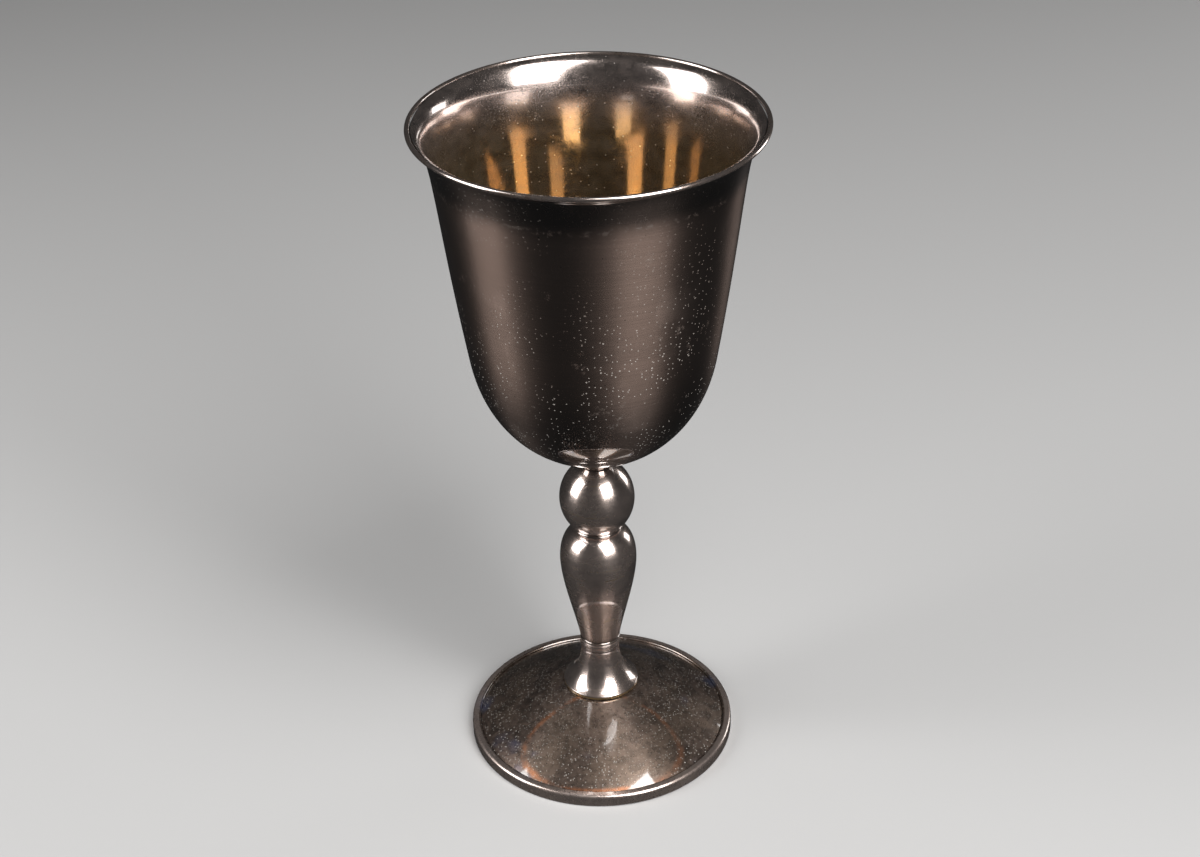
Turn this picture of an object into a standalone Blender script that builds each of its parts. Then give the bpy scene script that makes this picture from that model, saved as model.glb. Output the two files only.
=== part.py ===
"""A communion chalice, built as a stack of turned pieces clamped together by one tie rod.

Metres, +Z up. The origin is the centre of the ring that the cup stands on, at table height.
Every piece is turned about Z. Its outline is a closed loop of (radius, height) points.
"""
import math

import bmesh
import bpy
import numpy as np
from mathutils import Matrix, Vector

MM = 0.001
JOINT_GAP = 0.3 * MM            # clearance left between neighbouring pieces

# Overall sizes
HEIGHT = 180.0 * MM
RIM_RADIUS = 43.07 * MM
FOOT_RADIUS = 35.7 * MM

# Bowl: a spun cup with a flared lip
BOWL_BASE_Z = 90.0 * MM
BOWL_BASE_RADIUS = 8.0 * MM     # flat disc that sits on the collar
BOWL_WALL = 0.9 * MM
WAIST_RADIUS = 30.9 * MM        # where the round bottom runs into the straight side
WAIST_Z = 118.0 * MM
SIDE_TAPER = 0.16               # outward travel of the side for each unit of height
BASE_HANDLE = 2.5 * MM
WAIST_HANDLE_DOWN = 22.5 * MM
WAIST_HANDLE_UP = 45.0 * MM
LIP_HANDLE = 5.5 * MM
LIP_ANGLE = math.radians(65.0)  # lean of the lip away from upright

# Wire applied round the lip
LIP_WIRE_RADIUS = 0.6 * MM

# Collar under the bowl, and the plate inside it that holds the tie rod
COLLAR_NECK_RADIUS = 3.9 * MM
COLLAR_TOP_RADIUS = 7.4 * MM
COLLAR_RIM = 0.8 * MM
STUD_PLATE_RADIUS = 4.6 * MM
STUD_PLATE_THICKNESS = 2.1 * MM

# Knop: a slightly tall ball
KNOP_RADIUS = 9.8 * MM
KNOP_HALF_HEIGHT = 10.9 * MM
KNOP_Z = 74.6 * MM

# Ring between knop and baluster
NECK_RING_RADIUS = 6.45 * MM
NECK_RING_HEIGHT = 0.9 * MM

# Baluster
SHOULDER_RADIUS = 10.1 * MM
SHOULDER_Z = 55.8 * MM
BALUSTER_FOOT_RADIUS = 5.35 * MM
BALUSTER_FOOT_Z = 30.75 * MM

# Band between baluster and stem base
BAND_RADIUS = 5.4 * MM
BAND_BOTTOM_Z = 27.45 * MM

# Trumpet-shaped stem base
STEM_BASE_NECK_RADIUS = 5.2 * MM
STEM_BASE_EDGE_RADIUS = 10.1 * MM
STEM_BASE_EDGE = 1.1 * MM       # upright edge that stands on the foot
STEM_BASE_Z = 15.1 * MM

# Foot: a spun cone, open underneath
FOOT_SEAT_RADIUS = 10.6 * MM
FOOT_WALL = 1.0 * MM
FOOT_EDGE_Z = 3.0 * MM
FOOT_SKIRT_BOTTOM_Z = 0.5 * MM
FOOT_HANDLE = 7.0 * MM          # how far each end's slope holds before the cone bends
FOOT_EDGE_SLOPE = math.radians(31.0)
FOOT_SEAT_SLOPE = math.radians(25.0)

# Ring that the foot stands on
FOOT_RING_WIDTH = 2.1 * MM
FOOT_RING_HEIGHT = 3.5 * MM
FOOT_RING_ROUND = 0.9 * MM

# Tie rod and its fastenings
ROD_RADIUS = 2.5 * MM
ROD_BORE = ROD_RADIUS + JOINT_GAP
ROD_BOTTOM_Z = 4.6 * MM
SPREADER_RADIUS = 8.4 * MM
SPREADER_THICKNESS = 1.0 * MM
SPRING_WASHER_RADIUS = 4.6 * MM
SPRING_WASHER_THICKNESS = 1.2 * MM
SPRING_WASHER_SLOT = math.radians(14.0)
NUT_ACROSS_FLATS = 8.0 * MM
NUT_THICKNESS = 4.0 * MM

# Fineness of the turned surfaces
FINE_SEGMENTS = 56
STEM_SEGMENTS = 28
SMOOTH_ANGLE = math.radians(35.0)


def clear_scene():
    for item in list(bpy.data.objects):
        bpy.data.objects.remove(item, do_unlink=True)


# ---------------------------------------------------------------- outlines

def bezier(start, start_handle, end_handle, end, steps):
    """Points along a cubic curve, ends included."""
    t = np.linspace(0.0, 1.0, steps + 1)[:, None]
    u = 1.0 - t
    corners = [np.array(p) for p in (start, start_handle, end_handle, end)]
    weights = (u ** 3, 3 * u * u * t, 3 * u * t * t, t ** 3)
    return sum(w * p for w, p in zip(weights, corners))


def arc(centre, radius_r, radius_z, start, end, steps):
    """Points along an elliptical arc. Angles run from +radius towards +Z, in degrees."""
    angle = np.radians(np.linspace(start, end, steps + 1))
    return np.stack([centre[0] + radius_r * np.cos(angle), centre[1] + radius_z * np.sin(angle)], axis=1)


def inner_offset(outline, thickness):
    """The outline moved sideways by a wall's thickness, to the left of its direction."""
    along = np.gradient(outline, axis=0)
    along /= np.linalg.norm(along, axis=1)[:, None]
    return outline + thickness * np.stack([-along[:, 1], along[:, 0]], axis=1)


def bored(outline, bore):
    """Closes an outer outline that runs from bottom to top with a straight hole through it."""
    bottom, top = outline[0][1], outline[-1][1]
    return np.concatenate([outline, [(bore, top), (bore, bottom)]])


def bowl_outer():
    """Outer side of the cup, from the edge of its flat base to the lip."""
    base = (BOWL_BASE_RADIUS, BOWL_BASE_Z)
    waist = np.array((WAIST_RADIUS, WAIST_Z))
    up_side = np.array((SIDE_TAPER, 1.0)) / math.hypot(SIDE_TAPER, 1.0)
    out_lip = np.array((math.sin(LIP_ANGLE), math.cos(LIP_ANGLE)))
    below_lip = np.array((out_lip[1], -out_lip[0]))
    wire = np.array((RIM_RADIUS - LIP_WIRE_RADIUS, HEIGHT - LIP_WIRE_RADIUS))
    lip = wire - out_lip * (LIP_WIRE_RADIUS + JOINT_GAP) + below_lip * BOWL_WALL / 2
    bottom = bezier(base, (BOWL_BASE_RADIUS + BASE_HANDLE, BOWL_BASE_Z),
                    waist - WAIST_HANDLE_DOWN * up_side, waist, 8)
    side = bezier(waist, waist + WAIST_HANDLE_UP * up_side, lip - LIP_HANDLE * out_lip, lip, 9)
    return np.concatenate([bottom, side[1:]])


# ---------------------------------------------------------------- solids

def turned(name, outline, segments, material):
    """Spins a closed loop of (radius, height) points into one solid."""
    mesh = bmesh.new()
    loop = [mesh.verts.new((r, 0.0, z)) for r, z in outline]
    edges = [mesh.edges.new((loop[i - 1], loop[i])) for i in range(len(loop))
             if max(loop[i - 1].co.x, loop[i].co.x) > 0.0]
    bmesh.ops.spin(mesh, geom=loop + edges, cent=(0, 0, 0), axis=(0, 0, 1),
                   angle=math.tau, steps=segments, use_merge=True)
    return finished(name, mesh, material)


def finished(name, mesh, material):
    """Closes, turns outwards and smooths a mesh, and puts it in the scene."""
    bmesh.ops.remove_doubles(mesh, verts=mesh.verts, dist=1e-6)
    bmesh.ops.dissolve_degenerate(mesh, edges=mesh.edges, dist=1e-6)
    bmesh.ops.recalc_face_normals(mesh, faces=mesh.faces)
    data = bpy.data.meshes.new(name)
    mesh.to_mesh(data)
    mesh.free()
    data.shade_smooth()
    data.set_sharp_from_angle(angle=SMOOTH_ANGLE)
    data.materials.append(material)
    piece = bpy.data.objects.new(name, data)
    bpy.context.scene.collection.objects.link(piece)
    return piece


def metal(name, colour, roughness):
    material = bpy.data.materials.new(name)
    material.use_nodes = True
    shader = material.node_tree.nodes["Principled BSDF"]
    shader.inputs["Base Color"].default_value = (*colour, 1.0)
    shader.inputs["Metallic"].default_value = 1.0
    shader.inputs["Roughness"].default_value = roughness
    return material


# ---------------------------------------------------------------- pieces

def make_bowl(material):
    outer = bowl_outer()
    inner = inner_offset(outer, BOWL_WALL)
    floor_z = BOWL_BASE_Z + BOWL_WALL
    inner[0] = (BOWL_BASE_RADIUS, floor_z)
    outline = np.concatenate([[(0.0, BOWL_BASE_Z)], outer, inner[::-1], [(0.0, floor_z)]])
    return turned("bowl", outline, FINE_SEGMENTS, material)


def make_lip_wire(material):
    centre = (RIM_RADIUS - LIP_WIRE_RADIUS, HEIGHT - LIP_WIRE_RADIUS)
    section = arc(centre, LIP_WIRE_RADIUS, LIP_WIRE_RADIUS, 0, 360, 8)[:-1]
    return turned("lip_wire", section, FINE_SEGMENTS, material)


def knop_face(radius, side):
    """Height at which the knop is cut off flat at a given radius; side is 1 above, -1 below."""
    return KNOP_Z + side * KNOP_HALF_HEIGHT * math.sqrt(1.0 - (radius / KNOP_RADIUS) ** 2)


def make_stud_plate(material):
    """Round plate brazed under the bowl: the tie rod is screwed through it."""
    top = BOWL_BASE_Z - JOINT_GAP
    outline = np.array([(STUD_PLATE_RADIUS, top - STUD_PLATE_THICKNESS), (STUD_PLATE_RADIUS, top)])
    return turned("stud_plate", bored(outline, ROD_BORE), STEM_SEGMENTS, material)


def make_bowl_collar(material):
    """Coved ring that covers the stud plate and spreads the bowl's load onto the knop."""
    bottom = knop_face(COLLAR_NECK_RADIUS, 1) + JOINT_GAP
    top = BOWL_BASE_Z - JOINT_GAP
    rim = top - COLLAR_RIM
    recess_radius = STUD_PLATE_RADIUS + JOINT_GAP
    recess_floor = top - STUD_PLATE_THICKNESS - JOINT_GAP
    cove = bezier((COLLAR_NECK_RADIUS, bottom), (COLLAR_NECK_RADIUS + 0.5 * MM, bottom + 1.1 * MM),
                  (COLLAR_TOP_RADIUS - 1.8 * MM, rim - 1.5 * MM), (COLLAR_TOP_RADIUS, rim), 6)
    recess = [(COLLAR_TOP_RADIUS, top), (recess_radius, top), (recess_radius, recess_floor),
              (ROD_BORE, recess_floor), (ROD_BORE, bottom)]
    return turned("bowl_collar", np.concatenate([cove, recess]), STEM_SEGMENTS, material)


def make_knop_ball(material):
    lowest = -math.degrees(math.acos(NECK_RING_RADIUS / KNOP_RADIUS))
    highest = math.degrees(math.acos(COLLAR_NECK_RADIUS / KNOP_RADIUS))
    outline = arc((0.0, KNOP_Z), KNOP_RADIUS, KNOP_HALF_HEIGHT, lowest, highest, 12)
    return turned("knop_ball", bored(outline, ROD_BORE), STEM_SEGMENTS, material)


def make_neck_ring(material):
    """Thin washer with a half-round edge between knop and baluster."""
    half = NECK_RING_HEIGHT / 2
    top = knop_face(NECK_RING_RADIUS, -1) - JOINT_GAP
    outline = arc((NECK_RING_RADIUS - half, top - half), half, half, -90, 90, 4)
    return turned("neck_ring", bored(outline, ROD_BORE), STEM_SEGMENTS, material)


def make_baluster(material):
    """Vase-shaped upper stem: a full shoulder that thins to the band."""
    top = knop_face(NECK_RING_RADIUS, -1) - 2 * JOINT_GAP - NECK_RING_HEIGHT
    widest = (SHOULDER_RADIUS, SHOULDER_Z)
    neck = (NECK_RING_RADIUS - 0.3 * MM, top)
    taper = bezier((BALUSTER_FOOT_RADIUS, BALUSTER_FOOT_Z), (BALUSTER_FOOT_RADIUS + 1.05 * MM, 37.5 * MM),
                   (SHOULDER_RADIUS - 0.1 * MM, 48.5 * MM), widest, 8)
    shoulder = bezier(widest, (SHOULDER_RADIUS, 60.2 * MM), (8.9 * MM, 63.6 * MM), neck, 6)
    outline = np.concatenate([taper, shoulder[1:]])
    return turned("baluster", bored(outline, ROD_BORE), STEM_SEGMENTS, material)


def make_stem_band(material):
    """Short band between the baluster and the stem base, with a joint line at each end."""
    bottom = BAND_BOTTOM_Z
    top = BALUSTER_FOOT_Z - JOINT_GAP
    edge = 0.3 * MM
    outline = [(BAND_RADIUS - edge, bottom), (BAND_RADIUS, bottom + edge),
               (BAND_RADIUS, top - edge), (BAND_RADIUS - edge, top)]
    return turned("stem_band", bored(outline, ROD_BORE), STEM_SEGMENTS, material)


def make_stem_base(material):
    """Trumpet that flares from the band to the foot."""
    top = BAND_BOTTOM_Z - JOINT_GAP
    shoulder_z = STEM_BASE_Z + STEM_BASE_EDGE
    flare = bezier((STEM_BASE_EDGE_RADIUS, shoulder_z), (6.6 * MM, shoulder_z + 2.0 * MM),
                   (STEM_BASE_NECK_RADIUS - 0.1 * MM, shoulder_z + 6.3 * MM), (STEM_BASE_NECK_RADIUS, top), 8)
    outline = np.concatenate([[(STEM_BASE_EDGE_RADIUS, STEM_BASE_Z)], flare])
    return turned("stem_base", bored(outline, ROD_BORE), STEM_SEGMENTS, material)


def foot_seat_z():
    return STEM_BASE_Z - JOINT_GAP


def make_foot(material):
    """Spun cone: a flat seat for the stem, a very slightly domed side and a short skirt inside the ring."""
    seat_z = foot_seat_z()
    edge_radius = FOOT_RADIUS - FOOT_RING_WIDTH - JOINT_GAP
    edge_handle = (edge_radius - FOOT_HANDLE * math.cos(FOOT_EDGE_SLOPE),
                   FOOT_EDGE_Z + FOOT_HANDLE * math.sin(FOOT_EDGE_SLOPE))
    seat_handle = (FOOT_SEAT_RADIUS + FOOT_HANDLE * math.cos(FOOT_SEAT_SLOPE),
                   seat_z - FOOT_HANDLE * math.sin(FOOT_SEAT_SLOPE))
    sweep = bezier((edge_radius, FOOT_EDGE_Z), edge_handle, seat_handle, (FOOT_SEAT_RADIUS, seat_z), 9)
    under = inner_offset(sweep, FOOT_WALL)
    under[0] = (edge_radius - FOOT_WALL, FOOT_EDGE_Z - FOOT_WALL)
    under[-1] = (FOOT_SEAT_RADIUS - FOOT_WALL / 3, seat_z - FOOT_WALL)
    skirt = [(edge_radius - FOOT_WALL, FOOT_SKIRT_BOTTOM_Z), (edge_radius, FOOT_SKIRT_BOTTOM_Z)]
    seat = [(ROD_BORE, seat_z), (ROD_BORE, seat_z - FOOT_WALL)]
    outline = np.concatenate([skirt, sweep, seat, under[::-1]])
    return turned("foot", outline, FINE_SEGMENTS, material)


def make_foot_ring(material):
    """Upright ring round the edge of the foot, with its top rounded over."""
    inside = FOOT_RADIUS - FOOT_RING_WIDTH
    rounded = FOOT_RING_ROUND
    crown = arc((FOOT_RADIUS - rounded, FOOT_RING_HEIGHT - rounded), rounded, rounded, 0, 90, 4)
    base = [(inside, 0.0), (FOOT_RADIUS - rounded / 3, 0.0), (FOOT_RADIUS, rounded / 3)]
    outline = np.concatenate([base, crown, [(inside, FOOT_RING_HEIGHT - rounded / 3)]])
    return turned("foot_ring", outline, FINE_SEGMENTS, material)


def make_tie_rod(material):
    """Rod that clamps the whole stack: it screws into the stud plate and takes the nut below."""
    top = BOWL_BASE_Z - JOINT_GAP
    chamfer = 0.5 * MM
    outline = [(0.0, ROD_BOTTOM_Z), (ROD_RADIUS - chamfer, ROD_BOTTOM_Z), (ROD_RADIUS, ROD_BOTTOM_Z + chamfer),
               (ROD_RADIUS, top - chamfer), (ROD_RADIUS - chamfer, top), (0.0, top)]
    return turned("tie_rod", outline, STEM_SEGMENTS // 2, material)


def spreader_top_z():
    return foot_seat_z() - FOOT_WALL - JOINT_GAP


def make_spreader_washer(material):
    """Broad plain washer that spreads the nut's pull over the thin foot."""
    top = spreader_top_z()
    outline = [(SPREADER_RADIUS, top - SPREADER_THICKNESS), (SPREADER_RADIUS, top)]
    return turned("spreader_washer", bored(outline, ROD_BORE), STEM_SEGMENTS, material)


def spring_washer_top_z():
    return spreader_top_z() - SPREADER_THICKNESS - JOINT_GAP


def make_spring_washer(material):
    """Split washer: a square section swept most of the way round, with flat ends."""
    top = spring_washer_top_z()
    bottom = top - SPRING_WASHER_THICKNESS
    corners = [(ROD_BORE, bottom), (SPRING_WASHER_RADIUS, bottom), (SPRING_WASHER_RADIUS, top), (ROD_BORE, top)]
    mesh = bmesh.new()
    face = mesh.faces.new([mesh.verts.new((r, 0.0, z)) for r, z in corners])
    bmesh.ops.spin(mesh, geom=[face, *face.verts, *face.edges], cent=(0, 0, 0), axis=(0, 0, 1),
                   angle=math.tau - SPRING_WASHER_SLOT, steps=STEM_SEGMENTS // 2)
    return finished("spring_washer", mesh, material)


def make_clamp_nut(material):
    """Hexagon nut, bored through and chamfered by a turned cutter."""
    top = spring_washer_top_z() - SPRING_WASHER_THICKNESS - JOINT_GAP
    middle = top - NUT_THICKNESS / 2
    mesh = bmesh.new()
    bmesh.ops.create_cone(mesh, cap_ends=True, segments=6, radius1=NUT_ACROSS_FLATS / math.sqrt(3),
                          radius2=NUT_ACROSS_FLATS / math.sqrt(3), depth=NUT_THICKNESS,
                          matrix=Matrix.Translation(Vector((0, 0, middle))))
    nut = finished("clamp_nut", mesh, material)
    half = NUT_THICKNESS / 2
    flat = NUT_ACROSS_FLATS / 2
    slope = 0.35 * MM
    wide = 2 * NUT_ACROSS_FLATS
    chamfer_outline = [(flat, middle + half + MM), (flat, middle + half), (flat + 2 * slope, middle + half - slope),
                       (flat + 2 * slope, middle - half + slope), (flat, middle - half),
                       (flat, middle - half - MM), (wide, middle - half - MM), (wide, middle + half + MM)]
    bore_outline = [(0.0, middle - NUT_THICKNESS), (ROD_BORE, middle - NUT_THICKNESS),
                    (ROD_BORE, middle + NUT_THICKNESS), (0.0, middle + NUT_THICKNESS)]
    for label, outline in (("nut_chamfer_cutter", chamfer_outline), ("nut_bore_cutter", bore_outline)):
        cutter = turned(label, outline, STEM_SEGMENTS // 2, material)
        cutter.hide_render = True
        cutter.display_type = "WIRE"
        cut = nut.modifiers.new(label, "BOOLEAN")
        cut.operation = "DIFFERENCE"
        cut.object = cutter
    return nut


def main():
    clear_scene()
    bowl_silver = metal("worn_gilt_and_silver_plate", (0.62, 0.56, 0.48), 0.22)
    plate = metal("dulled_silver_plate", (0.62, 0.58, 0.54), 0.22)
    foot_plate = metal("tarnished_silver_plate", (0.50, 0.44, 0.38), 0.30)
    brass = metal("raw_brass", (0.60, 0.43, 0.20), 0.38)
    steel = metal("plain_steel", (0.42, 0.42, 0.43), 0.42)
    make_bowl(bowl_silver)
    make_lip_wire(plate)
    make_stud_plate(brass)
    for make in (make_bowl_collar, make_knop_ball, make_neck_ring, make_baluster, make_stem_band, make_stem_base):
        make(plate)
    make_foot(foot_plate)
    make_foot_ring(foot_plate)
    for make in (make_tie_rod, make_spreader_washer, make_spring_washer, make_clamp_nut):
        make(steel)


if __name__ == "__main__":
    main()
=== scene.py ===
"""Surfaces and finishes of a plated communion chalice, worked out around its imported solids.

The cup is a stack of turned pieces. Each visible piece is a surface of revolution: an outline of
(radius, height) points carried once round the Z axis. Metres, +Z up.
"""
import math

import bmesh
import bpy
import numpy as np
from mathutils import Matrix, Vector


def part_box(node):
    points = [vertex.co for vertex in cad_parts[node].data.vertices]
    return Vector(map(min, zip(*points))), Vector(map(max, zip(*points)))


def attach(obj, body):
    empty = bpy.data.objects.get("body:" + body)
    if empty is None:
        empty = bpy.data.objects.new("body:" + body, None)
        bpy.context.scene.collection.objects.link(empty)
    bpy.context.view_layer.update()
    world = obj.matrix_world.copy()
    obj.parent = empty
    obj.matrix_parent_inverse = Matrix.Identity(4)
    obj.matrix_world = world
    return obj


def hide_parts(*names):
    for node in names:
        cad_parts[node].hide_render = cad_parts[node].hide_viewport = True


bl_info = {
    "name": "Communion Chalice",
    "version": (1, 0, 0),
    "blender": (4, 5, 0),
    "location": "3D View > Sidebar > Chalice",
    "description": "Makes the surfaces, finishes and stage of a plated communion chalice",
    "category": "Add Mesh",
}

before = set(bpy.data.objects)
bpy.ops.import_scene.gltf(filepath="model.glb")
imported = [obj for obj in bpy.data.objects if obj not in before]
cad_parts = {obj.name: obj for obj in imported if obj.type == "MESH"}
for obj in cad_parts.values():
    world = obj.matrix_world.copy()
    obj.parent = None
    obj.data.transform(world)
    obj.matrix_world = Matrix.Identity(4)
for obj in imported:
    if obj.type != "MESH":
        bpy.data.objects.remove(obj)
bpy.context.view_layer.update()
BODY = "root"
MM = 0.001

LIP_LOW, LIP_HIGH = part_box("lip_wire")
BOWL_LOW, BOWL_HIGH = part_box("bowl")
KNOP_LOW, KNOP_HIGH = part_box("knop_ball")
RING_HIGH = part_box("foot_ring")[1]
FOOT_LOW, FOOT_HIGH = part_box("foot")
ROD_LOW, ROD_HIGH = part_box("tie_rod")
ROD_RADIUS = ROD_HIGH.x
LIP_WIRE_RADIUS = (LIP_HIGH.z - LIP_LOW.z) / 2
KNOP_CENTRE_Z = 74.6 * MM
KNOP_HALF_HEIGHT = 10.9 * MM
STEM_JOINTS = tuple(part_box(node)[0].z for node in ("bowl_collar", "knop_ball", "baluster", "stem_base"))
RUBBED_EDGE_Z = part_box("stem_base")[0].z + 1.0 * MM
RING_RUB_RADIUS = RING_HIGH.x - 1.9 * MM
GIRTH = math.tau * BOWL_HIGH.x * 0.8    # girth that a pattern on the map of turns is laid out for
TURNS = "turning"               # name of the map that runs round and along each turned surface

OUT_OF_ROUND = 0.0004           # share of its radius by which the bowl is narrower across than front to back

# Heights, low and high, between which the bowl's finish changes or painted shade darkens it (a painted shadow
# under the lip, painted shade on the round bottom), and the height of the dried polish
PAINTED_BOTTOM_SHADE_HEIGHTS = (BOWL_LOW.z + 18.0 * MM, BOWL_LOW.z + 41.0 * MM)
DUSTY_SIDE = (BOWL_LOW.z + 30.0 * MM, LIP_HIGH.z - 15.0 * MM)
PAINTED_LIP_SHADOW_HEIGHTS = (LIP_HIGH.z - 14.5 * MM, LIP_HIGH.z - 7.8 * MM)
DRIED_EDGE_Z = LIP_HIGH.z - 11.0 * MM
WORN_GILDING = (LIP_HIGH.z - 23.0 * MM, LIP_HIGH.z - 7.5 * MM)
PITTED_LIP = (LIP_HIGH.z - 22.0 * MM, LIP_HIGH.z - 10.0 * MM)

# The edge of the bowl's reflection, painted on the foot as an orange ellipse in front of the stem, and where
# the foot's blue bloom begins
REFLECTED_EDGE_WIDE = 21.0 * MM
REFLECTED_EDGE_DEEP = 12.5 * MM
REFLECTED_EDGE_FORWARD = 20.5 * MM
BLOOM_RADII = (18.0 * MM, 28.0 * MM)

# Camera: where it stands, and how it is tipped, turned and leaned
CAMERA_PLACE = (0.0, -457.67 * MM, 376.88 * MM)
CAMERA_PITCH, CAMERA_YAW, CAMERA_LEAN = (math.radians(angle) for angle in (31.616, 0.147, -1.223))

# Softboxes: direction and distance from the point they face, width and height as seen from there in
# degrees, and the setting that holds their power
LIT_MIDDLE = Vector((0.0, 0.0, 0.08))
SOFTBOXES = {
    "side_softbox": (Vector((-0.865, -0.200, 0.460)), 0.80, (30.0, 50.0), "side_light"),
    "front_softbox": (Vector((0.446, -0.580, 0.682)), 0.95, (34.0, 56.0), "front_light"),
    "back_softbox": (Vector((0.821, 0.554, 0.139)), 0.90, (16.0, 24.0), "back_light"),
}


# ---------------------------------------------------------------- settings

def length(name, description, value):
    return bpy.props.FloatProperty(name=name, description=description, default=value, min=0.0,
                                   unit="LENGTH", precision=5)


def colour(name, description, value):
    return bpy.props.FloatVectorProperty(name=name, description=description, default=value, size=3,
                                         min=0.0, max=1.0, subtype="COLOR")


def power(name, description, value):
    return bpy.props.FloatProperty(name=name, description=description, default=value, min=0.0,
                                   unit="POWER")


class ChaliceSizes(bpy.types.PropertyGroup):
    """Sizes that a maker would set before turning the pieces."""
    bowl_wall: length("Bowl wall", "Thickness of the bowl's sheet", 0.9 * MM)
    bowl_base: length("Bowl base", "Radius of the flat disc under the bowl", 8.0 * MM)
    waist_radius: length("Waist radius", "Radius where the round bottom meets the side", 30.9 * MM)
    waist_height: length("Waist height", "Height where the round bottom meets the side", 118.0 * MM)
    side_taper: bpy.props.FloatProperty(
        name="Side taper", description="Outward travel of the side for each unit of height", default=0.16)
    lip_lean: bpy.props.FloatProperty(
        name="Lip lean", description="Lean of the lip away from upright", default=math.radians(65.0),
        subtype="ANGLE")
    foot_wall: length("Foot wall", "Thickness of the foot's sheet", 1.0 * MM)
    thread_pitch: length("Thread pitch", "Pitch of the tie rod's thread", 0.8 * MM)
    thread_depth: length("Thread depth", "Depth of the tie rod's thread", 0.4 * MM)
    bowl_segments: bpy.props.IntProperty(
        name="Bowl segments", description="Steps round the bowl and foot", default=256, min=24)
    stem_segments: bpy.props.IntProperty(
        name="Stem segments", description="Steps round the stem pieces", default=160, min=16)


class ChaliceFinishes(bpy.types.PropertyGroup):
    """Colours of the metals, of what time has left on them, and of painted shade and a painted reflection."""
    silver: colour("Silver", "Dulled silver plate outside the bowl", (0.37, 0.262, 0.215))
    silver_haze: colour("Silver haze", "Silver under a film of handling", (0.31, 0.228, 0.192))
    bright_silver: colour("Bright silver", "Cleaner silver plate on the stem", (0.74, 0.61, 0.55))
    gilding: colour("Gilding", "Worn gilding inside the bowl", (0.52, 0.40, 0.25))
    lip_silver: colour("Lip silver", "Silver that shows where gilding has gone", (0.46, 0.385, 0.35))
    tarnish: colour("Tarnish", "Brown tarnish", (0.20, 0.145, 0.11))
    # Orange of the painted reflection of the bowl's edge on the foot.
    painted_reflection_orange: colour("Stain", "Orange bloom on the foot", (0.55, 0.22, 0.10))
    bloom: colour("Bloom", "Blue-violet bloom on the foot", (0.16, 0.20, 0.36))
    # The pits' colour is also the colour of the painted shadow under the bowl's lip and the painted shade on
    # its round bottom.
    pits_and_painted_shade: colour("Pits", "Black sulphide pits", (0.03, 0.026, 0.024))
    dust: colour("Dust", "Dust and dried polish", (0.52, 0.49, 0.45))
    brass: colour("Brass", "Bare brass where plate has worn", (0.62, 0.42, 0.17))
    steel: colour("Steel", "Plain steel fastenings", (0.40, 0.39, 0.38))


class ChaliceStage(bpy.types.PropertyGroup):
    """Floor, lights and focal length."""
    floor: colour("Floor", "Colour of the floor", (0.48, 0.475, 0.47))
    floor_cloud: colour("Floor cloud", "Paler clouding of the floor", (0.56, 0.55, 0.54))
    side_light: power("Side light", "Power of the left light", 5.6)
    front_light: power("Front light", "Power of the right light", 15.5)
    back_light: power("Back light", "Power of the light behind", 1.1)
    fill: bpy.props.FloatProperty(name="Fill", description="Strength of the even light all round",
                                  default=0.016, min=0.0)
    focal_length: bpy.props.FloatProperty(name="Focal length", description="Camera's focal length in mm",
                                          default=63.37, min=1.0)


# ---------------------------------------------------------------- outlines

def curve(start, start_handle, end_handle, end, steps):
    """Cubic curve: p(t) = u^3 a + 3 u^2 t b + 3 u t^2 c + t^3 d, with u = 1 - t."""
    t = np.linspace(0.0, 1.0, steps + 1)[:, None]
    u = 1.0 - t
    a, b, c, d = (np.asarray(p, float) for p in (start, start_handle, end_handle, end))
    return u ** 3 * a + 3 * u * u * t * b + 3 * u * t * t * c + t ** 3 * d


def arc(centre, radius_r, radius_z, start, end, steps):
    """Ellipse arc: (r, z) = centre + (radius_r cos a, radius_z sin a), a in degrees from start to end."""
    a = np.radians(np.linspace(start, end, steps + 1))
    return np.stack([centre[0] + radius_r * np.cos(a), centre[1] + radius_z * np.sin(a)], axis=1)


def straight(start, end, steps):
    """Even points from start to end."""
    t = np.linspace(0.0, 1.0, steps + 1)[:, None]
    return (1.0 - t) * np.asarray(start, float) + t * np.asarray(end, float)


def offset(outline, thickness):
    """The outline moved by a thickness to the left of its own direction, along its normal."""
    along = np.gradient(outline, axis=0)
    along /= np.linalg.norm(along, axis=1)[:, None]
    return outline + thickness * np.stack([-along[:, 1], along[:, 0]], axis=1)


def joined(*parts):
    """Puts outlines end to end and drops points that repeat."""
    points = np.concatenate([np.asarray(p, float).reshape(-1, 2) for p in parts])
    apart = np.linalg.norm(np.diff(points, axis=0), axis=1) > 1e-7
    return points[np.concatenate([[True], apart])]


def bored(outline, bore, bevel=0.15 * MM):
    """Closes an outer side that runs from bottom to top with a straight hole with broken edges."""
    bottom, top = outline[0][1], outline[-1][1]
    hole = [(bore + bevel, top), (bore, top - bevel), (bore, bottom + bevel), (bore + bevel, bottom)]
    return joined(outline, hole)


# ---------------------------------------------------------------- meshes

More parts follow.
